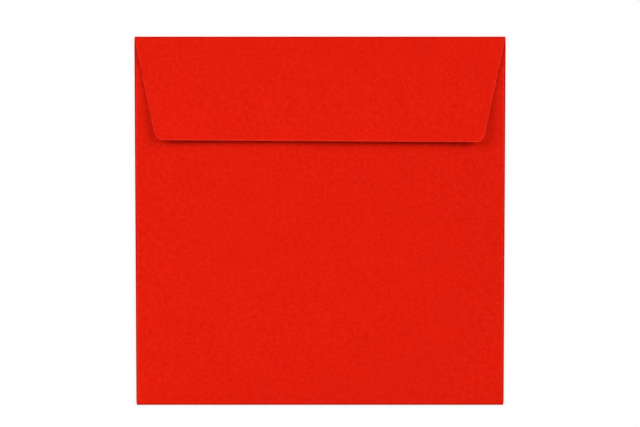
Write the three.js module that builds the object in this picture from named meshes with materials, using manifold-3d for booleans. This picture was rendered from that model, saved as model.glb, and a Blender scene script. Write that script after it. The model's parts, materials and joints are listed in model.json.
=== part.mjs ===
// Square pocket envelope, lying on its front panel with the flap closed but not sealed.
// Millimetres. X runs across the envelope, +Y towards the fold of the flap, +Z up.
// The origin lies under the middle of the envelope, on the surface that it rests on.

import * as THREE from "three";
import { mergeVertices } from "three/addons/utils/BufferGeometryUtils.js";
import Module from "manifold-3d";

// Outline of the folded envelope, and its sheet of paper
const envelopeWidth = 160;
const envelopeHeight = 160;
const paper = 0.18;

// Side tabs, folded in from the front panel and sprung up off it
const tabGap = 0.36;
const tabWidth = 16;
const tabBottomSetback = 0.8;
const tabTopSetback = 0.8;
const tabBottomSlant = THREE.MathUtils.degToRad(12);
const tabTopSlant = THREE.MathUtils.degToRad(40);
const tabCornerRadius = 1;

// Glue lines between the side tabs and the back panel
const glueThickness = 0.04;
const glueWidth = 6;
const glueInset = 1.6;
const glueEndMargin = 2;

// Back panel, whose top edge is the throat of the pocket. It is as wide as the bottom fold where it
// leaves it, and narrows over its shoulder so that it stays inside the side folds.
const bottomFoldInset = 0.2;
const backInset = 0.6;
const backShoulder = 3.5;
const throatDrop = 12;
const throatCornerRadius = 3;

// Bow of the back panel: it springs up out of the bottom fold and settles towards the throat
const bowHeight = 0.85;
const bowCrest = 34;
const bowShoulder = 26;
const bowMargin = 8.5;

// Flap, cut a little deeper and narrower at the right, which springs open round the top fold
const flapRootInset = 0.2;
const flapTaperLeft = 9.1;
const flapTaperRight = 9.5;
const flapDepthLeft = 44.55;
const flapDepthRight = 45.4;
const flapLift = 1.55;
const topFoldRise = 0.24;

// Its free corners are cut off at a slant, which is eased into the side and meets the free edge
// at a blunt tip
const cornerAlongSide = 1.6;
const cornerAlongEdge = 1.8;
const cornerSideRadius = 5;
const cornerTipRadius = 0.8;

// Adhesive strip on the inner face of the flap, and the liner that covers it
const stripWidth = 9;
const stripThickness = 0.06;
const stripEdgeMargin = 5;
const stripEndMargin = 7;
const linerThickness = 0.07;
const linerOverhang = 1.5;
const linerEndOverhang = 3;
const linerCornerRadius = 1;
const filmClearance = 0.01;

// Number of straight steps in round and bowed stretches
const arcSteps = 6;
const bowColumns = 22;
const bowRows = 24;
const bowRowCrowding = 1.6;
const cutAllowance = 1;

// Levels of the layers above the surface, from the front panel up
const tabBottom = paper + tabGap;
const tabTop = tabBottom + paper;
const backBottom = tabTop + glueThickness;
const backTop = backBottom + paper;

// A fold is half a ring of paper, so its outer radius is half the height that it spans
const sideFoldRadius = tabTop / 2;
const bottomFoldRadius = backTop / 2;
const topFoldRadius = (backTop + topFoldRise) / 2;

// Lines where the flat panels end and the folds begin
const sideFoldX = envelopeWidth / 2 - sideFoldRadius;
const bottomFoldY = bottomFoldRadius - envelopeHeight / 2;
const topFoldY = envelopeHeight / 2 - topFoldRadius;

// Places along the height
const backHalfWidth = envelopeWidth / 2 - backInset;
const bottomFoldHalf = envelopeWidth / 2 - bottomFoldInset;
const throatY = envelopeHeight / 2 - throatDrop;
const tabBottomY = tabBottomSetback - envelopeHeight / 2;
const tabTopY = envelopeHeight / 2 - tabTopSetback;

// Height of the back panel's bow above the level of its glued margins
function bowAt(x, fromBottomFold) {
  const inboard = backHalfWidth - bowMargin - Math.abs(x);
  const across = THREE.MathUtils.smoothstep(inboard, 0, bowShoulder);
  const along = (fromBottomFold / bowCrest) * Math.exp(1 - fromBottomFold / bowCrest);
  return bowHeight * across * along;
}

// The flap is measured from the outer edge of the top fold, and turns about the fold's centre line
const flapLeft = flapDepthLeft - topFoldRadius;
const flapRight = flapDepthRight - topFoldRadius;
const flapMiddle = (flapLeft + flapRight) / 2;
const flapRootHalf = envelopeWidth / 2 - flapRootInset;
const underFreeEdge = backTop + bowAt(0, topFoldY - flapMiddle - bottomFoldY);
const flapInnerAtFold = 2 * topFoldRadius - paper;
const flapAngle = Math.atan2(underFreeEdge + flapLift - flapInnerAtFold, flapMiddle);

const wasm = await Module();
wasm.setup();

function solidOf(geometry) {
  const bare = geometry.index ? geometry.toNonIndexed() : geometry.clone();
  bare.deleteAttribute("normal");
  bare.deleteAttribute("uv");
  const merged = mergeVertices(bare, 1e-4);
  return new wasm.Manifold(
    new wasm.Mesh({
      numProp: 3,
      vertProperties: merged.attributes.position.array,
      triVerts: new Uint32Array(merged.index.array),
    }),
  );
}

function geometryOf(solid) {
  const mesh = solid.getMesh();
  const geometry = new THREE.BufferGeometry();
  geometry.setAttribute("position", new THREE.BufferAttribute(mesh.vertProperties, 3));
  geometry.setIndex(new THREE.BufferAttribute(mesh.triVerts, 1));
  geometry.computeVertexNormals();
  return geometry;
}

// Plate with an outline in the XY plane, from a low level up to a high one
function plate(outline, low, high) {
  const settings = { depth: high - low, bevelEnabled: false, curveSegments: arcSteps };
  return new THREE.ExtrudeGeometry(outline, settings).translate(0, 0, low);
}

// Bar with a section in the YZ plane, from x = low to x = high
function barAlongX(section, low, high) {
  const settings = { depth: high - low, bevelEnabled: false, curveSegments: arcSteps };
  const turned = new THREE.Matrix4().makeBasis(
    new THREE.Vector3(0, 1, 0),
    new THREE.Vector3(0, 0, 1),
    new THREE.Vector3(1, 0, 0),
  );
  return new THREE.ExtrudeGeometry(section, settings).applyMatrix4(turned).translate(low, 0, 0);
}

// Bar with a section in the XZ plane, from y = low to y = high
function barAlongY(section, low, high) {
  const settings = { depth: high - low, bevelEnabled: false, curveSegments: arcSteps };
  const turned = new THREE.Matrix4().makeBasis(
    new THREE.Vector3(1, 0, 0),
    new THREE.Vector3(0, 0, 1),
    new THREE.Vector3(0, -1, 0),
  );
  return new THREE.ExtrudeGeometry(section, settings).applyMatrix4(turned).translate(0, high, 0);
}

// Section of a fold: a ring of paper that starts underneath, flat on the surface, and turns
// round its outer side, which is 1 for the positive side and -1 for the negative one
function foldSection(centre, radius, outerSide, turn) {
  const start = -Math.PI / 2;
  const end = start + outerSide * turn;
  const clockwise = outerSide < 0;
  return new THREE.Shape()
    .absarc(centre, radius, radius, start, end, clockwise)
    .absarc(centre, radius, radius - paper, end, start, !clockwise);
}

// Outline through some corners, each with a radius of its own; 0 leaves a corner sharp
function roundedOutline(corners) {
  const shape = new THREE.Shape();
  corners.forEach(({ x, y, radius }, i) => {
    const corner = new THREE.Vector2(x, y);
    const before = corners[(i + corners.length - 1) % corners.length];
    const after = corners[(i + 1) % corners.length];
    const toBefore = new THREE.Vector2(before.x - x, before.y - y).normalize();
    const toAfter = new THREE.Vector2(after.x - x, after.y - y).normalize();
    const halfAngle = Math.acos(toBefore.dot(toAfter)) / 2;
    const reach = radius / Math.tan(halfAngle);
    const start = corner.clone().addScaledVector(toBefore, reach);
    const end = corner.clone().addScaledVector(toAfter, reach);
    if (i === 0) shape.moveTo(start.x, start.y);
    else shape.lineTo(start.x, start.y);
    if (radius > 0) shape.quadraticCurveTo(x, y, end.x, end.y);
  });
  return shape;
}

function rectangle(left, bottom, right, top, radius = 0) {
  return roundedOutline([
    { x: left, y: bottom, radius },
    { x: right, y: bottom, radius },
    { x: right, y: top, radius },
    { x: left, y: top, radius },
  ]);
}

function frontPanel() {
  return plate(rectangle(-sideFoldX, bottomFoldY, sideFoldX, topFoldY), 0, paper);
}

function bottomFold() {
  const section = foldSection(bottomFoldY, bottomFoldRadius, -1, Math.PI);
  return barAlongX(section, -bottomFoldHalf, bottomFoldHalf);
}

// The fold stops short of half a turn by the angle at which the flap springs open
function topFold() {
  const section = foldSection(topFoldY, topFoldRadius, 1, Math.PI - flapAngle);
  return barAlongX(section, -flapRootHalf, flapRootHalf);
}

function sideFold(side) {
  const section = foldSection(side * sideFoldX, sideFoldRadius, side, Math.PI);
  return barAlongY(section, tabBottomY, tabTopY);
}

// A tab narrows from its fold inwards, with both ends cut at a slant
function sideTab(side) {
  const inner = side * (envelopeWidth / 2 - tabWidth);
  const reach = sideFoldX - Math.abs(inner);
  const outline = roundedOutline([
    { x: side * sideFoldX, y: tabBottomY, radius: 0 },
    { x: side * sideFoldX, y: tabTopY, radius: 0 },
    { x: inner, y: tabTopY - reach * Math.tan(tabTopSlant), radius: tabCornerRadius },
    { x: inner, y: tabBottomY + reach * Math.tan(tabBottomSlant), radius: tabCornerRadius },
  ]);
  return plate(outline, tabBottom, tabTop);
}

function seamGlue(side) {
  const outer = side * (envelopeWidth / 2 - glueInset);
  const inner = outer - side * glueWidth;
  const low = tabBottomY + (sideFoldX - Math.abs(inner)) * Math.tan(tabBottomSlant) + glueEndMargin;
  const outline = rectangle(Math.min(inner, outer), low, Math.max(inner, outer), throatY - glueEndMargin);
  return plate(outline, tabTop, backBottom);
}

// A grid of paper is bowed, and then cut to the outline of the panel
function backPanel() {
  const sheet = new THREE.BoxGeometry(2, 1, 1, bowColumns, bowRows, 1);
  const bowedHalf = backHalfWidth - bowMargin;
  const lastColumn = 1 - 2 / bowColumns;
  const length = throatY + cutAllowance - bottomFoldY;
  const points = sheet.attributes.position;
  for (let i = 0; i < points.count; i++) {
    const across = Math.abs(points.getX(i));
    const inBow = across < lastColumn + 1e-6;
    const x = inBow ? (bowedHalf * across) / lastColumn : bottomFoldHalf + cutAllowance;
    const fromFold = length * (points.getY(i) + 0.5) ** bowRowCrowding;
    const level = points.getZ(i) < 0 ? backBottom : backTop;
    const signedX = Math.sign(points.getX(i)) * x;
    points.setXYZ(i, signedX, bottomFoldY + fromFold, level + bowAt(x, fromFold));
  }
  const below = bottomFoldY - cutAllowance;
  const shoulderY = bottomFoldY + backShoulder;
  const outline = roundedOutline([
    { x: -bottomFoldHalf, y: below, radius: 0 },
    { x: bottomFoldHalf, y: below, radius: 0 },
    { x: bottomFoldHalf, y: bottomFoldY, radius: 0 },
    { x: backHalfWidth, y: shoulderY, radius: 0 },
    { x: backHalfWidth, y: throatY, radius: throatCornerRadius },
    { x: -backHalfWidth, y: throatY, radius: throatCornerRadius },
    { x: -backHalfWidth, y: shoulderY, radius: 0 },
    { x: -bottomFoldHalf, y: bottomFoldY, radius: 0 },
  ]);
  const cutter = plate(outline, 0, backTop + bowHeight + cutAllowance);
  return geometryOf(solidOf(sheet).intersect(solidOf(cutter)));
}

// The flap and what it carries are drawn flat, with the centre line of the top fold as their origin
const flapInner = topFoldRadius - paper;
const leftRoot = new THREE.Vector2(-flapRootHalf, 0);
const rightRoot = new THREE.Vector2(flapRootHalf, 0);
const leftEnd = new THREE.Vector2(flapTaperLeft - flapRootHalf, -flapLeft);
const rightEnd = new THREE.Vector2(flapRootHalf - flapTaperRight, -flapRight);

function cornerOn(start, end, distance, radius) {
  const { x, y } = end.clone().sub(start).setLength(distance).add(start);
  return { x, y, radius };
}

function sealFlap() {
  const outline = roundedOutline([
    { x: leftRoot.x, y: leftRoot.y, radius: 0 },
    cornerOn(leftEnd, leftRoot, cornerAlongSide, cornerSideRadius),
    cornerOn(leftEnd, rightEnd, cornerAlongEdge, cornerTipRadius),
    cornerOn(rightEnd, leftEnd, cornerAlongEdge, cornerTipRadius),
    cornerOn(rightEnd, rightRoot, cornerAlongSide, cornerSideRadius),
    { x: rightRoot.x, y: rightRoot.y, radius: 0 },
  ]);
  return plate(outline, flapInner, topFoldRadius);
}

// Both strips run along the free edge, at a constant distance from it
const stripTop = flapInner - filmClearance;
const linerTop = stripTop - stripThickness - filmClearance;

function freeEdgeY(x) {
  return THREE.MathUtils.mapLinear(x, leftEnd.x, rightEnd.x, leftEnd.y, rightEnd.y);
}

function bandAlongFreeEdge(endMargin, near, far, radius) {
  const left = leftEnd.x + endMargin;
  const right = rightEnd.x - endMargin;
  return roundedOutline([
    { x: left, y: freeEdgeY(left) + near, radius },
    { x: right, y: freeEdgeY(right) + near, radius },
    { x: right, y: freeEdgeY(right) + far, radius },
    { x: left, y: freeEdgeY(left) + far, radius },
  ]);
}

function sealStrip() {
  const outline = bandAlongFreeEdge(stripEndMargin, stripEdgeMargin, stripEdgeMargin + stripWidth, 0);
  return plate(outline, stripTop - stripThickness, stripTop);
}

function releaseLiner() {
  const near = stripEdgeMargin - linerOverhang;
  const far = stripEdgeMargin + stripWidth + linerOverhang;
  const endMargin = stripEndMargin - linerEndOverhang;
  const outline = bandAlongFreeEdge(endMargin, near, far, linerCornerRadius);
  return plate(outline, linerTop - linerThickness, linerTop);
}

function redPaper() {
  return new THREE.MeshStandardMaterial({ color: 0xe21d0d, roughness: 0.9, metalness: 0 });
}

function driedGlue() {
  return new THREE.MeshStandardMaterial({ color: 0xe9dfc6, roughness: 0.5, metalness: 0 });
}

function clearAdhesive() {
  const seeThrough = { transparent: true, opacity: 0.15 };
  return new THREE.MeshStandardMaterial({ color: 0xf0dfb8, roughness: 0.2, metalness: 0, ...seeThrough });
}

function whiteLiner() {
  return new THREE.MeshStandardMaterial({ color: 0xf4f2ec, roughness: 0.4, metalness: 0 });
}

function add(group, name, geometry, material) {
  const mesh = new THREE.Mesh(geometry, material);
  mesh.name = name;
  group.add(mesh);
}

const envelope = new THREE.Group();
add(envelope, "front_panel", frontPanel(), redPaper());
add(envelope, "bottom_fold", bottomFold(), redPaper());
add(envelope, "top_fold", topFold(), redPaper());
for (const [word, side] of [["left", -1], ["right", 1]]) {
  add(envelope, word + "_side_fold", sideFold(side), redPaper());
  add(envelope, word + "_side_tab", sideTab(side), redPaper());
  add(envelope, word + "_seam_glue", seamGlue(side), driedGlue());
}
add(envelope, "back_panel", backPanel(), redPaper());

const flap = new THREE.Group();
flap.position.set(0, topFoldY, topFoldRadius);
flap.rotation.x = -flapAngle;
add(flap, "seal_flap", sealFlap(), redPaper());
add(flap, "seal_strip", sealStrip(), clearAdhesive());
add(flap, "release_liner", releaseLiner(), whiteLiner());
envelope.add(flap);

export default envelope;
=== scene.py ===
# A square pocket envelope of red paper, lying on its address side with the flap closed but not sealed.
# Metres. X runs across the envelope, +Y towards the fold of the flap, +Z up out of its back.

import json
import math

import bmesh
import bpy
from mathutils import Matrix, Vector
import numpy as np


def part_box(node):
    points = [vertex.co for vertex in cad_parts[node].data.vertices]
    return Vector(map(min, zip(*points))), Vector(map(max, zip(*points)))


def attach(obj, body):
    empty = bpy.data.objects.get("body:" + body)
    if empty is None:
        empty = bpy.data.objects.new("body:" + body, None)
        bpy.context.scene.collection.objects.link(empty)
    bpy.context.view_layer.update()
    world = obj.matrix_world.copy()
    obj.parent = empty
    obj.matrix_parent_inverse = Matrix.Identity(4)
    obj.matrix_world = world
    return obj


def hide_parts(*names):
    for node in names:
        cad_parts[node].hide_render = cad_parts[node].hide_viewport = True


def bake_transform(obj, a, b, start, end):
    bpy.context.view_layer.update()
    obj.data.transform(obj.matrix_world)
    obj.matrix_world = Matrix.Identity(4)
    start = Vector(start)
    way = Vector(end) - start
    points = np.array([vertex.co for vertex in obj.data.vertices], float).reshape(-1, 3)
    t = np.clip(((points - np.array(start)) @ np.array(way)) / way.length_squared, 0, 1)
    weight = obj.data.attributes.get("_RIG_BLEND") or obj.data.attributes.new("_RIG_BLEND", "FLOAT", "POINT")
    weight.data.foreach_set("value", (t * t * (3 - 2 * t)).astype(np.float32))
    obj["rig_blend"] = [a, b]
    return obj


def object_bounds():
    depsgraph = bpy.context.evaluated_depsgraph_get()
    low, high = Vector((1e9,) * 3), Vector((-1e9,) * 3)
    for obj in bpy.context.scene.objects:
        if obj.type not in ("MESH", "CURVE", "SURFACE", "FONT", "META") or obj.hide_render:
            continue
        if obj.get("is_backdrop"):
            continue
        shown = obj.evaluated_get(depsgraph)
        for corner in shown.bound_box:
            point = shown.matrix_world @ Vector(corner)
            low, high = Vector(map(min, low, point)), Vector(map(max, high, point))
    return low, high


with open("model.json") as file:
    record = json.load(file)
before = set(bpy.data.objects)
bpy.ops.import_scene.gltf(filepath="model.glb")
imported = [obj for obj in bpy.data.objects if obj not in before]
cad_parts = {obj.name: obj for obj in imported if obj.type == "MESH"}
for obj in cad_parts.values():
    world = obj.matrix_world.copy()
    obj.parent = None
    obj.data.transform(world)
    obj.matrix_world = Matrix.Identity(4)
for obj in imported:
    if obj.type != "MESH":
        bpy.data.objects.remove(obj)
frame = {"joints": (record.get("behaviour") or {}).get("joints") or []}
cad_low, cad_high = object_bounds()


# Front panel, top fold and flap
# The address side and the flap are one stretch of the die-cut sheet, of red uncoated paper that is
# dyed right through. The flap is folded over at the top crease, springs up and curls a little, and
# its free edge was pushed up by the cutting die. The crease bends with the flap.

MM = 0.001
joints = {joint["name"]: joint for joint in frame["joints"]}
top_crease = Vector(joints["flap_hinge"]["pos_m"])
flap_way = Vector(joints["liner_pull"]["axis"])
panel_low, panel_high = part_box("front_panel")
paper = panel_high.z - panel_low.z

flap_depth_left = 44.55 * MM
flap_depth_right = 45.4 * MM
flap_root_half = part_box("top_fold")[1].x
flap_taper_left = 9.1 * MM
flap_taper_right = 9.5 * MM
corner_along_side = 1.6 * MM
corner_along_edge = 1.8 * MM
corner_side_radius = 5 * MM
corner_tip_radius = 0.8 * MM
flap_curl = 0.018
flap_twist = 0.3 * MM
flap_wave = 0.09 * MM
flap_wave_length = 72 * MM
flap_wave_crest = 11 * MM
burr_width = 0.9 * MM
burr_rise = 0.05 * MM
cut_band = 0.45 * MM
shoulder_width = 0.35 * MM
side_fold_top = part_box("left_side_fold")[1].y
to_right = Vector((1, 0, 0))
to_fold = Vector((0, 1, 0))

bend_rows = 12
panel_row = 20 * MM
flap_row = 2 * MM
flap_column = 3 * MM
merge_distance = 0.0001 * MM

top_fold_radius = top_crease.z - paper
flap_angle = math.atan2(flap_way.z, -flap_way.y)
root_angle = flap_angle - flap_curl
top_turn = math.pi - root_angle
flap_left_end = flap_taper_left - flap_root_half
flap_right_end = flap_root_half - flap_taper_right
flap_length_left = flap_depth_left - top_crease.z
flap_length_right = flap_depth_right - top_crease.z
flap_length = (flap_length_left + flap_length_right) / 2
top_arc = top_fold_radius * top_turn


def flat_blank(corners, radii, band=0):
    """Sheet cut to an outline, flat at the level of the front panel's inner face. The radii say
    which corners are rounded, and how much. A band along the outline can be set off."""
    sheet = bmesh.new()
    sheet.verts.layers.float.new("crease_shade_and_gloss_weight")
    sheet.verts.layers.float.new("cut")
    points = [sheet.verts.new((x, y, paper)) for x, y in corners]
    sheet.faces.new(points)
    bmesh.ops.recalc_face_normals(sheet, faces=sheet.faces)
    if sheet.faces[:][0].normal.z < 0:
        bmesh.ops.reverse_faces(sheet, faces=sheet.faces)
    reaches = {}
    for i, radius in radii.items():
        corner = points[i].co
        to_before = points[i - 1].co - corner
        to_after = points[(i + 1) % len(points)].co - corner
        reaches[i] = radius / math.tan(to_before.angle(to_after) / 2)
    for i, reach in reaches.items():
        bmesh.ops.bevel(
            sheet, geom=[points[i]], offset=reach, offset_type="OFFSET",
            segments=8, profile=0.5, affect="VERTICES", material=-1,
        )
    if band:
        bmesh.ops.inset_region(
            sheet, faces=sheet.faces[:], thickness=band, use_boundary=True, use_even_offset=True
        )
    return sheet


def rule_lines(sheet, direction, places):
    """Cuts the sheet into cells along straight lines, so that it can bend."""
    for place in places:
        geometry = sheet.verts[:] + sheet.edges[:] + sheet.faces[:]
        bmesh.ops.bisect_plane(
            sheet, geom=geometry, dist=merge_distance, plane_co=direction * place, plane_no=direction
        )


def mark_cut(sheet, direction, start):
    """Marks the outline as cut by the die, from a straight line onwards."""
    cut = sheet.verts.layers.float["cut"]
    for vert in sheet.verts:
        if vert.is_boundary and vert.co.dot(direction) > start:
            vert[cut] = 1


def even_steps(start, end, step):
    """Places between two ends, about a step apart, with both ends."""
    count = max(1, round(abs(end - start) / step))
    return [start + (end - start) * i / count for i in range(count + 1)]


def fold_over(sheet, crease, outward, radius, turn):
    """Rolls what lies beyond a crease round a cylinder, and lays the rest down straight. The bend
    and its shoulder are marked for a painted crease shade."""
    rule_lines(sheet, outward, [crease.dot(outward) + radius * turn + shoulder_width])
    crease_shade_and_gloss_weight = sheet.verts.layers.float["crease_shade_and_gloss_weight"]
    for vert in sheet.verts:
        beyond = (vert.co - crease).dot(outward)
        if beyond > 0:
            angle = min(beyond / radius, turn)
            rest = beyond - angle * radius
            reach = radius * math.sin(angle) + rest * math.cos(turn)
            vert.co += outward * (reach - beyond)
            vert.co.z += radius * (1 - math.cos(angle)) + rest * math.sin(turn)
            # Weight of the painted crease shade: it grows over the bend and fades across the shoulder
            vert[crease_shade_and_gloss_weight] = math.sin(angle / 2) ** 4 * max(0, 1 - rest / shoulder_width)


def smooth_step(value, start, end):
    """Rises smoothly from 0 at the start to 1 at the end."""
    share = min(max((value - start) / (end - start), 0), 1)
    return share * share * (3 - 2 * share)


def along_free_edge(x):
    """Share of the way from the left end of the free edge to the right one."""
    return (x - flap_left_end) / (flap_right_end - flap_left_end)


def free_edge_length(x):
    """Distance from the fold to the free edge, which is cut a little out of square."""
    return flap_length_left + (flap_length_right - flap_length_left) * along_free_edge(x)


def flap_rise(x, from_fold):
    """Height of the flap above the straight line that leaves the fold at the root angle."""
    to_edge = free_edge_length(x) - from_fold
    reach = from_fold / free_edge_length(x)
    wave = flap_wave * math.cos(math.tau * (x - flap_wave_crest) / flap_wave_length)
    twist = flap_twist * max(0, along_free_edge(x)) ** 2
    burr = max(0, 1 - to_edge / burr_width) ** 2 * burr_rise
    return flap_curl * from_fold * reach + (wave + twist) * reach**2 + burr


def paper_object(sheet, name, materials):
    """A single layer of paper faces as an object, with its thickness laid on the outer side."""
    for edge in sheet.edges:
        edge.smooth = not edge.is_boundary
    for face in sheet.faces:
        face.smooth = True
    mesh = bpy.data.meshes.new(name)
    sheet.to_mesh(mesh)
    sheet.free()
    piece = bpy.data.objects.new(name, mesh)
    bpy.context.scene.collection.objects.link(piece)
    thickness = piece.modifiers.new("paper_thickness", "SOLIDIFY")
    thickness.thickness = paper
    thickness.offset = -1
    thickness.material_offset_rim = 1
    for material in materials:
        mesh.materials.append(material)
    return piece


def linear(code):
    """An sRGB hex colour as linear red, green, blue and alpha."""
    values = [int(code[i : i + 2], 16) / 255 for i in (1, 3, 5)]
    return [v / 12.92 if v <= 0.04045 else ((v + 0.055) / 1.055) ** 2.4 for v in values] + [1]


def add_node(tree, kind, inputs, **settings):
    """Adds a node, sets its options, and gives each input a value or a link."""
    node = tree.nodes.new(kind)
    for name, value in settings.items():
        setattr(node, name, value)
    for name, value in inputs.items():
        if isinstance(value, bpy.types.NodeSocket):
            tree.links.new(value, node.inputs[name])
        else:
            node.inputs[name].default_value = value
    return node


def new_material(name):
    material = bpy.data.materials.new(name)
    material.use_nodes = True
    material.node_tree.nodes.clear()
    return material, material.node_tree


def uncoated_paper(name, body, thin_spot, fibre, cut_pale_and_highlight):
    """Uncoated machine-made paper. Its fibres settle in small flocs, which give a faint cloudy tone
    a millimetre or two across, with the ends of single fibres on it. Creases are painted darker
    along their bend and shoulder as painted shade, and are a little smoother there. Along a cut the
    paper is paler, partly from fibres lifted by the die and partly as a painted highlight."""
    painted_crease_shade = 0.3
    cut_pale_and_highlight_share = 0.4
    floc_size = 1.45 * MM
    fibre_size = 0.36 * MM
    cloud_size = 14 * MM
    material, tree = new_material(name)
    place = add_node(tree, "ShaderNodeTexCoord", {}).outputs["Object"]
    flocs = add_node(tree, "ShaderNodeTexNoise", {
        "Vector": place, "Scale": 1 / floc_size, "Detail": 3, "Roughness": 0.55,
    })
    clouds = add_node(tree, "ShaderNodeTexNoise", {
        "Vector": place, "Scale": 1 / cloud_size, "Detail": 2, "Roughness": 0.5,
    })
    fibres = add_node(tree, "ShaderNodeTexNoise", {
        "Vector": place, "Scale": 1 / fibre_size, "Detail": 4, "Roughness": 0.6, "Distortion": 1.2,
    })
    floc_share = add_node(tree, "ShaderNodeMapRange", {
        "Value": flocs.outputs["Fac"], "From Min": 0.3, "From Max": 0.7, "To Min": 0, "To Max": 1,
    })
    toned = add_node(tree, "ShaderNodeMix", {
        "Factor": floc_share.outputs["Result"], "A": linear(thin_spot), "B": linear(body),
    }, data_type="RGBA")
    fibre_share = add_node(tree, "ShaderNodeMapRange", {
        "Value": fibres.outputs["Fac"], "From Min": 0.52, "From Max": 0.78, "To Min": 0, "To Max": 0.5,
    })
    fibred = add_node(tree, "ShaderNodeMix", {
        "Factor": fibre_share.outputs["Result"], "A": toned.outputs["Result"], "B": linear(fibre),
    }, data_type="RGBA")
    # Paler band along each cut: partly fibres lifted by the die, partly a painted highlight
    cut = add_node(tree, "ShaderNodeAttribute", {}, attribute_name="cut")
    cut_pale_and_highlight_tone = add_node(tree, "ShaderNodeMath", {
        0: cut.outputs["Fac"], 1: cut_pale_and_highlight_share,
    }, operation="MULTIPLY")
    edged = add_node(tree, "ShaderNodeMix", {
        "Factor": cut_pale_and_highlight_tone.outputs["Value"], "A": fibred.outputs["Result"], "B": linear(cut_pale_and_highlight),
    }, data_type="RGBA")
    cloud_tone = add_node(tree, "ShaderNodeMapRange", {
        "Value": clouds.outputs["Fac"],
        "From Min": 0.3, "From Max": 0.7, "To Min": 0.985, "To Max": 1.015,
    })
    # Painted crease shade: the colour is darkened along each bend and its shoulder, which are also a little
    # glossier
    crease_shade_and_gloss_weight = add_node(tree, "ShaderNodeAttribute", {}, attribute_name="crease_shade_and_gloss_weight")
    crease_shade_and_gloss = add_node(tree, "ShaderNodeMapRange", {
        "Value": crease_shade_and_gloss_weight.outputs["Fac"],
        "From Min": 0, "From Max": 1, "To Min": 1, "To Max": 1 - painted_crease_shade,
    })
    tone = add_node(tree, "ShaderNodeMath", {
        0: cloud_tone.outputs["Result"], 1: crease_shade_and_gloss.outputs["Result"],
    }, operation="MULTIPLY")
    colour = add_node(tree, "ShaderNodeVectorMath", {
        "Vector": edged.outputs["Result"], "Scale": tone.outputs["Value"],
    }, operation="SCALE")
    relief = add_node(tree, "ShaderNodeMath", {0: flocs.outputs["Fac"], 1: fibres.outputs["Fac"]})
    bump = add_node(tree, "ShaderNodeBump", {
        "Height": relief.outputs["Value"], "Strength": 0.25, "Distance": 0.03 * MM,
    })
    fibre_roughness = add_node(tree, "ShaderNodeMapRange", {
        "Value": fibres.outputs["Fac"], "From Min": 0.3, "From Max": 0.7, "To Min": 0.86, "To Max": 0.96,
    })
    roughness = add_node(tree, "ShaderNodeMath", {
        0: fibre_roughness.outputs["Result"], 1: crease_shade_and_gloss.outputs["Result"],
    }, operation="MULTIPLY")
    surface = add_node(tree, "ShaderNodeBsdfPrincipled", {
        "Base Color": colour.outputs["Vector"], "Roughness": roughness.outputs["Value"],
        "Normal": bump.outputs["Normal"], "IOR": 1.5, "Specular IOR Level": 0.03,
    })
    add_node(tree, "ShaderNodeOutputMaterial", {"Surface": surface.outputs["BSDF"]})
    return material


# The last colour is the paler cut band, partly lifted fibres and partly a painted highlight
red_paper = uncoated_paper("red_dyed_uncoated_paper", "#E4210F", "#DD1502", "#EC2B19", "#F4493A")

# The guillotined edge shows the ends of the fibres, so it is a little paler
cut_edge = uncoated_paper("red_paper_cut_edge", "#E5261A", "#DB1C10", "#F04434", "#F4493A")

top_y = top_crease.y
fold_end = top_y + top_arc
left_root = Vector((-flap_root_half, fold_end))
right_root = Vector((flap_root_half, fold_end))
left_end = Vector((flap_left_end, fold_end + flap_length_left))
right_end = Vector((flap_right_end, fold_end + flap_length_right))

# Each free corner is cut off at a slant, which is eased into the side and ends in a blunt tip
wrapper = flat_blank(
    [
        (-flap_root_half, panel_low.y),
        (flap_root_half, panel_low.y),
        right_root,
        right_end + (right_root - right_end).normalized() * corner_along_side,
        right_end + (left_end - right_end).normalized() * corner_along_edge,
        left_end + (right_end - left_end).normalized() * corner_along_edge,
        left_end + (left_root - left_end).normalized() * corner_along_side,
        left_root,
    ],
    radii={3: corner_side_radius, 4: corner_tip_radius, 5: corner_tip_radius, 6: corner_side_radius},
    band=cut_band,
)
rule_lines(wrapper, to_fold, even_steps(panel_low.y, side_fold_top, panel_row)[1:])
rule_lines(wrapper, to_fold, even_steps(top_y, fold_end, top_arc / bend_rows))
rule_lines(wrapper, to_fold, even_steps(fold_end, fold_end + flap_length, flap_row)[1:-1])
rule_lines(wrapper, to_right, even_steps(-flap_root_half, flap_root_half, flap_column)[1:-1])
mark_cut(wrapper, to_fold, side_fold_top)
fold_over(wrapper, Vector((0, top_y, paper)), to_fold, top_fold_radius, top_turn)

# The front panel ends where the side folds begin, a little inside the top fold's ends
for side in (-1, 1):
    panel_faces = []
    for face in wrapper.faces:
        middle = face.calc_center_median()
        if middle.y < side_fold_top and middle.z < top_crease.z:
            panel_faces.append(face)
    panel_edges = {edge for face in panel_faces for edge in face.edges}
    panel_verts = {vert for face in panel_faces for vert in face.verts}
    bmesh.ops.bisect_plane(
        wrapper, geom=list(panel_verts) + list(panel_edges) + panel_faces, dist=merge_distance,
        plane_co=(side * panel_high.x, 0, 0), plane_no=(side, 0, 0), clear_outer=True,
    )
fold_end_y = top_y + top_fold_radius * math.sin(top_turn)
for vert in wrapper.verts:
    if vert.co.z > top_crease.z:
        from_fold = max(0, fold_end_y - vert.co.y) / math.cos(root_angle)
        vert.co.z += flap_rise(vert.co.x, from_fold)

wrapper = paper_object(wrapper, "front_and_flap", [red_paper, cut_edge])
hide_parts("front_panel", "top_fold", "seal_flap")
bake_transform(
    wrapper, "pocket", "flap",
    start=(0, top_y, paper), end=(0, top_y, 2 * top_crease.z - paper),
)


# Back panel and bottom fold
# The back is turned up from the front panel over the bottom crease and glued down along its two
# sides. It springs up out of the fold and settles towards the throat of the pocket.

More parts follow.
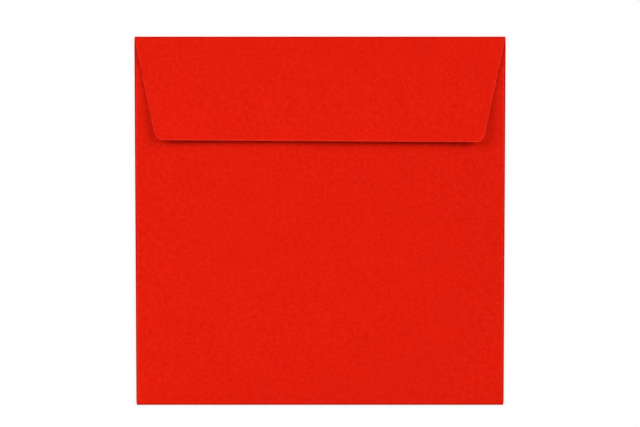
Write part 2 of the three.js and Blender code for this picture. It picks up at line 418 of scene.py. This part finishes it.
back_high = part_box("back_panel")[1]
bottom_low, bottom_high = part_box("bottom_fold")
bottom_fold_outer = (bottom_high.z - bottom_low.z) / 2
bottom_fold_radius = bottom_fold_outer - paper
bottom_arc = bottom_fold_radius * math.pi
bow_height = 0.85 * MM
bow_crest = 34 * MM
bow_shoulder = 26 * MM
bow_margin = 8.5 * MM
throat_corner_radius = 3 * MM
back_inset = 0.6 * MM
back_shoulder = 3.5 * MM
back_cell = 2.5 * MM

back_half = cad_high.x - back_inset
bottom_half = bottom_high.x
back_length = back_high.y - panel_low.y


def bow_rise(x, from_bottom):
    """Height of the back panel above the level of its glued margins."""
    across = smooth_step(back_half - bow_margin - abs(x), 0, bow_shoulder)
    along = from_bottom / bow_crest * math.exp(1 - from_bottom / bow_crest)
    return bow_height * across * along


back_end = panel_low.y - bottom_arc - back_length
back = flat_blank(
    [
        (-back_half, back_end),
        (back_half, back_end),
        (back_half, panel_low.y - bottom_arc - back_shoulder),
        (bottom_half, panel_low.y - bottom_arc),
        (bottom_half, panel_low.y),
        (-bottom_half, panel_low.y),
        (-bottom_half, panel_low.y - bottom_arc),
        (-back_half, panel_low.y - bottom_arc - back_shoulder),
    ],
    radii={0: throat_corner_radius, 1: throat_corner_radius},
    band=cut_band,
)
bottom_bend = even_steps(panel_low.y, panel_low.y - bottom_arc, bottom_arc / bend_rows)
rule_lines(back, to_fold, bottom_bend[1:])
rule_lines(back, to_fold, even_steps(panel_low.y - bottom_arc, back_end, back_cell)[1:-1])
rule_lines(back, to_right, even_steps(-back_half, back_half, back_cell)[1:-1])
mark_cut(back, -to_fold, -panel_low.y)
fold_over(back, Vector((0, panel_low.y, paper)), -to_fold, bottom_fold_radius, math.pi)
for vert in back.verts:
    if vert.co.z > bottom_fold_outer:
        vert.co.z += bow_rise(vert.co.x, max(0, vert.co.y - panel_low.y))

back = paper_object(back, "back_and_bottom_fold", [red_paper, cut_edge])
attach(back, "pocket")
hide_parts("back_panel", "bottom_fold")


# Side folds and their tabs
# A narrow tab on each side of the front panel is folded in under the back panel, which is glued to
# it. Both ends of a tab are cut at a slant, so that it clears the corners.

fold_low, fold_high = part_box("left_side_fold")
tab_low, tab_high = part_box("left_side_tab")
side_fold_radius = (fold_high.z - fold_low.z) / 2 - paper
side_arc = side_fold_radius * math.pi
tab_bottom_slant = math.radians(12)
tab_top_slant = math.radians(40)
tab_corner_radius = 1 * MM
side_bend_rows = 10
tab_column = 4 * MM
tab_row = 8 * MM

tab_length = tab_high.x - tab_low.x
tab_end = side_arc + tab_length
for word, side in (("left", -1), ("right", 1)):
    crease_x = side * panel_high.x
    corners = [
        (crease_x, fold_low.y),
        (crease_x + side * side_arc, fold_low.y),
        (crease_x + side * tab_end, fold_low.y + tab_length * math.tan(tab_bottom_slant)),
        (crease_x + side * tab_end, fold_high.y - tab_length * math.tan(tab_top_slant)),
        (crease_x + side * side_arc, fold_high.y),
        (crease_x, fold_high.y),
    ]
    tab = flat_blank(corners, radii={2: tab_corner_radius, 3: tab_corner_radius}, band=cut_band)
    across = Vector((side, 0, 0))
    bend_end = panel_high.x + side_arc
    rule_lines(tab, across, even_steps(panel_high.x, bend_end, side_arc / side_bend_rows)[1:])
    rule_lines(tab, across, even_steps(bend_end, panel_high.x + tab_end, tab_column)[1:-1])
    rule_lines(tab, to_fold, even_steps(fold_low.y, fold_high.y, tab_row)[1:-1])
    mark_cut(tab, across, panel_high.x)
    fold_over(tab, Vector((crease_x, 0, paper)), across, side_fold_radius, math.pi)
    tab = paper_object(tab, word + "_tab_and_fold", [red_paper, cut_edge])
    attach(tab, "pocket")
    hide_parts(word + "_side_fold", word + "_side_tab")


# Glue lines
# Starch paste was rolled on in one line along each tab and pressed flat under the back panel. It
# dries to a thin dull film, with an edge that wanders a little.

glue_wander = 0.35 * MM
glue_wander_length = 9 * MM
glue_second_wave = 2.3
glue_end_radius = 2.4 * MM
glue_row = 1.5 * MM
glue_column = 2 * MM
paste_ripple = 2.5 * MM

# Dried paste is cream-coloured and a little rippled, with a dull shine
material, tree = new_material("dried_starch_paste")
place = add_node(tree, "ShaderNodeTexCoord", {}).outputs["Object"]
ripples = add_node(tree, "ShaderNodeTexNoise", {
    "Vector": place, "Scale": 1 / paste_ripple, "Detail": 3,
})
paste_tone = add_node(tree, "ShaderNodeMix", {
    "Factor": ripples.outputs["Fac"], "A": linear("#E0D3B4"), "B": linear("#F0E8D4"),
}, data_type="RGBA")
bump = add_node(tree, "ShaderNodeBump", {
    "Height": ripples.outputs["Fac"], "Strength": 0.5, "Distance": 0.02 * MM,
})
surface = add_node(tree, "ShaderNodeBsdfPrincipled", {
    "Base Color": paste_tone.outputs["Result"], "Roughness": 0.55, "IOR": 1.5,
    "Normal": bump.outputs["Normal"],
})
add_node(tree, "ShaderNodeOutputMaterial", {"Surface": surface.outputs["BSDF"]})
dried_paste = material


def film_object(film, name, low, high, material):
    """A thin film between two levels, from an outline of flat faces."""
    for vert in film.verts:
        vert.co.z = low
    made = bmesh.ops.extrude_face_region(film, geom=film.faces[:])
    raised = [part for part in made["geom"] if isinstance(part, bmesh.types.BMVert)]
    bmesh.ops.translate(film, verts=raised, vec=(0, 0, high - low))
    bmesh.ops.recalc_face_normals(film, faces=film.faces)
    mesh = bpy.data.meshes.new(name)
    film.to_mesh(mesh)
    film.free()
    mesh.materials.append(material)
    piece = bpy.data.objects.new(name, mesh)
    bpy.context.scene.collection.objects.link(piece)
    return piece


for word, side in (("left", -1), ("right", 1)):
    low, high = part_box(word + "_seam_glue")
    glue = flat_blank(
        [(low.x, low.y), (high.x, low.y), (high.x, high.y), (low.x, high.y)],
        radii={i: glue_end_radius for i in range(4)},
    )
    rule_lines(glue, to_fold, even_steps(low.y, high.y, glue_row)[1:-1])
    rule_lines(glue, to_right, even_steps(low.x, high.x, glue_column)[1:-1])
    middle = (low.x + high.x) / 2
    for vert in glue.verts:
        turn = math.tau * vert.co.y / glue_wander_length + side
        shift = glue_wander * (math.sin(turn) + math.sin(glue_second_wave * turn)) / 2
        vert.co.x += shift * (vert.co.x - middle) / (high.x - middle)
    glue = film_object(glue, word + "_glue_line", low.z, high.z, dried_paste)
    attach(glue, "pocket")
    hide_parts(word + "_seam_glue")


# Adhesive strip
# A band of clear pressure-sensitive adhesive along the free edge of the flap, on its inner face.
# It was laid down as a soft film, so it is glossy and its long edges are not quite straight.

strip_width = 9 * MM
strip_thickness = 0.06 * MM
strip_edge_margin = 5 * MM
strip_end_margin = 7 * MM
strip_corner_radius = 0.6 * MM
strip_wander = 0.12 * MM
strip_wander_length = 17 * MM
strip_second_wave = 1.7
strip_row = 2 * MM
strip_column = 1.5 * MM
film_ripple = 1.5 * MM
film_clearance = 0.01 * MM
strip_top = top_crease.z - paper - film_clearance


def band_on_flap(end_margin, near, far, radius, wander=0, wander_length=1):
    """Flat band along the free edge, from its distances to that edge, and ruled so that it bends.
    Its long edges can wander a little."""
    start = flap_left_end + end_margin
    end = flap_right_end - end_margin
    band = flat_blank(
        [
            (start, near - free_edge_length(start)),
            (end, near - free_edge_length(end)),
            (end, far - free_edge_length(end)),
            (start, far - free_edge_length(start)),
        ],
        radii={i: radius for i in range(4)},
    )
    rule_lines(band, to_right, even_steps(start, end, strip_column)[1:-1])
    rule_lines(band, to_fold, even_steps(near - flap_length, far - flap_length, strip_row)[1:-1])
    middle = (near + far) / 2
    for vert in band.verts:
        turn = math.tau * vert.co.x / wander_length
        shift = wander * (math.sin(turn) + math.sin(strip_second_wave * turn + 1)) / 2
        vert.co.y += shift * (vert.co.y + free_edge_length(vert.co.x) - middle) / (far - middle)
    return band


def lay_on_flap(piece):
    """Carries a flat piece, drawn under a level flap, up to the sprung and curled one."""
    for vert in piece.data.vertices:
        x, y, z = vert.co
        vert.co.y = top_y + y * math.cos(root_angle) + z * math.sin(root_angle)
        vert.co.z = top_crease.z - y * math.sin(root_angle) + z * math.cos(root_angle)
        vert.co.z += flap_rise(x, -y)
    return piece


# The clear film lets the red of the paper through, and shines where a lamp catches it
material, tree = new_material("clear_pressure_sensitive_adhesive")
place = add_node(tree, "ShaderNodeTexCoord", {}).outputs["Object"]
ripples = add_node(tree, "ShaderNodeTexNoise", {
    "Vector": place, "Scale": 1 / film_ripple, "Detail": 2,
})
bump = add_node(tree, "ShaderNodeBump", {
    "Height": ripples.outputs["Fac"], "Strength": 0.4, "Distance": 0.05 * MM,
})
surface = add_node(tree, "ShaderNodeBsdfPrincipled", {
    "Base Color": linear("#F0DFB8"), "Roughness": 0.18, "IOR": 1.48, "Alpha": 0.15,
    "Normal": bump.outputs["Normal"],
})
add_node(tree, "ShaderNodeOutputMaterial", {"Surface": surface.outputs["BSDF"]})

strip = band_on_flap(
    strip_end_margin, strip_edge_margin, strip_edge_margin + strip_width,
    strip_corner_radius, strip_wander, strip_wander_length,
)
strip = film_object(strip, "adhesive_strip", strip_top - strip_thickness, strip_top, material)
lay_on_flap(strip)
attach(strip, "flap")
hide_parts("seal_strip")


# Release liner
# White glassine paper with a silicone face, cut a little wider and longer than the adhesive so that
# a finger can catch it. It clings to the adhesive and is peeled off to seal the envelope.

liner_thickness = 0.07 * MM
liner_overhang = 1.5 * MM
liner_end_overhang = 3 * MM
liner_corner_radius = 1 * MM
liner_grain = 0.8 * MM
liner_top = strip_top - strip_thickness - film_clearance

# Glassine is pressed smooth between rollers, so it has a fine grain and a soft, even shine
material, tree = new_material("white_glassine_release_paper")
place = add_node(tree, "ShaderNodeTexCoord", {}).outputs["Object"]
grain = add_node(tree, "ShaderNodeTexNoise", {
    "Vector": place, "Scale": 1 / liner_grain, "Detail": 4,
})
tone = add_node(tree, "ShaderNodeMix", {
    "Factor": grain.outputs["Fac"], "A": linear("#E9E6DC"), "B": linear("#F8F6F0"),
}, data_type="RGBA")
bump = add_node(tree, "ShaderNodeBump", {
    "Height": grain.outputs["Fac"], "Strength": 0.2, "Distance": 0.02 * MM,
})
surface = add_node(tree, "ShaderNodeBsdfPrincipled", {
    "Base Color": tone.outputs["Result"], "Roughness": 0.38, "IOR": 1.45,
    "Normal": bump.outputs["Normal"],
})
add_node(tree, "ShaderNodeOutputMaterial", {"Surface": surface.outputs["BSDF"]})

liner = band_on_flap(
    strip_end_margin - liner_end_overhang,
    strip_edge_margin - liner_overhang,
    strip_edge_margin + strip_width + liner_overhang,
    liner_corner_radius,
)
liner = film_object(liner, "release_liner_strip", liner_top - liner_thickness, liner_top, material)
lay_on_flap(liner)
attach(liner, "liner")
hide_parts("release_liner")


# Floor
# A plain white studio sheet under the envelope. It takes the envelope's shadow, which fades out
# with distance, and the camera sees the rest as white paper.

floor_half = 3
floor_drop = 0.02 * MM
shadow_share = 0.2
shadow_near = 150 * MM
shadow_far = 450 * MM


def seen_by_camera(tree):
    """1 for what the camera sees, straight, mirrored or through clear film, and 0 for the light
    that falls on other things."""
    rays = add_node(tree, "ShaderNodeLightPath", {})
    seen = add_node(tree, "ShaderNodeMath", {
        0: rays.outputs["Is Camera Ray"], 1: rays.outputs["Is Glossy Ray"],
    }, operation="MAXIMUM")
    seen = add_node(tree, "ShaderNodeMath", {
        0: seen.outputs["Value"], 1: rays.outputs["Is Transmission Ray"],
    }, operation="MAXIMUM")
    return seen.outputs["Value"]


sheet = bmesh.new()
bmesh.ops.create_grid(sheet, x_segments=1, y_segments=1, size=floor_half)
bmesh.ops.translate(sheet, verts=sheet.verts, vec=(0, 0, cad_low.z - floor_drop))
mesh = bpy.data.meshes.new("studio_floor")
sheet.to_mesh(mesh)
sheet.free()
floor = bpy.data.objects.new("studio_floor", mesh)
bpy.context.scene.collection.objects.link(floor)
material, tree = new_material("white_studio_floor")
matt = add_node(tree, "ShaderNodeBsdfDiffuse", {"Color": linear("#FFFFFF")})
white = add_node(tree, "ShaderNodeEmission", {"Color": linear("#FFFFFF"), "Strength": 1})
place = add_node(tree, "ShaderNodeTexCoord", {}).outputs["Object"]
distance = add_node(tree, "ShaderNodeVectorMath", {0: place}, operation="LENGTH")
white_share = add_node(tree, "ShaderNodeMapRange", {
    "Value": distance.outputs["Value"], "From Min": shadow_near, "From Max": shadow_far,
    "To Min": 1 - shadow_share, "To Max": 1,
})
share = add_node(tree, "ShaderNodeMath", {
    0: seen_by_camera(tree), 1: white_share.outputs["Result"],
}, operation="MULTIPLY")
surface = add_node(tree, "ShaderNodeMixShader", {
    0: share.outputs["Value"], 1: matt.outputs["BSDF"], 2: white.outputs["Emission"],
})
add_node(tree, "ShaderNodeOutputMaterial", {"Surface": surface.outputs["Shader"]})
mesh.materials.append(material)
floor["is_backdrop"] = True


# Light
# Two large soft lights stand beyond the top of the envelope, one to each side, low enough to draw
# the flap's shadow. A weak one high up and a near one beyond the bottom edge fill that shadow in.

room_light = 0.05


def softbox(name, azimuth, elevation, distance, width, height, share):
    """A soft light, at an azimuth clockwise from +Y. Its share of the light on a level white sheet
    sets its power."""
    turn = math.radians(azimuth)
    rise = math.radians(elevation)
    way = Vector((math.sin(turn) * math.cos(rise), math.cos(turn) * math.cos(rise), math.sin(rise)))
    data = bpy.data.lights.new(name, "AREA")
    data.shape = "RECTANGLE"
    data.size = width
    data.size_y = height
    data.energy = share * math.pi**2 * distance**2 / math.sin(rise)
    lamp = bpy.data.objects.new(name, data)
    lamp.location = way * distance
    lamp.rotation_euler = way.to_track_quat("Z", "Y").to_euler()
    bpy.context.scene.collection.objects.link(lamp)


softbox("left_key", azimuth=-58, elevation=26, distance=2.2, width=1.3, height=1.0, share=0.335)
softbox("right_key", azimuth=60, elevation=26, distance=3.4, width=2.0, height=1.5, share=0.365)
softbox("high_fill", azimuth=5, elevation=62, distance=2.5, width=1.4, height=1.4, share=0.11)
softbox("front_fill", azimuth=-160, elevation=42, distance=0.9, width=0.6, height=0.5, share=0.235)

world = bpy.data.worlds.new("studio")
bpy.context.scene.world = world
world.use_nodes = True
world.node_tree.nodes.clear()
room = add_node(world.node_tree, "ShaderNodeBackground", {
    "Color": linear("#FFFFFF"), "Strength": room_light,
})
backdrop = add_node(world.node_tree, "ShaderNodeBackground", {
    "Color": linear("#FFFFFF"), "Strength": 1,
})
surface = add_node(world.node_tree, "ShaderNodeMixShader", {
    0: seen_by_camera(world.node_tree),
    1: room.outputs["Background"],
    2: backdrop.outputs["Background"],
})
add_node(world.node_tree, "ShaderNodeOutputWorld", {"Surface": surface.outputs["Shader"]})


# Camera
# It looks almost straight down, from a little above the top edge.

camera_distance = 1.055
camera_tilt = math.radians(4.23)
aim = Vector((0, 3.54 * MM, 0))
data = bpy.data.cameras.new("camera")
data.sensor_width = 36
data.lens = 136.98
data.clip_start = 0.05
camera = bpy.data.objects.new("camera", data)
way = Vector((0, math.sin(camera_tilt), math.cos(camera_tilt)))
camera.location = aim + way * camera_distance
camera.rotation_euler = (-camera_tilt, 0, 0)
bpy.context.scene.collection.objects.link(camera)
bpy.context.scene.camera = camera
bpy.context.scene.view_settings.view_transform = "Standard"

low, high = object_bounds()
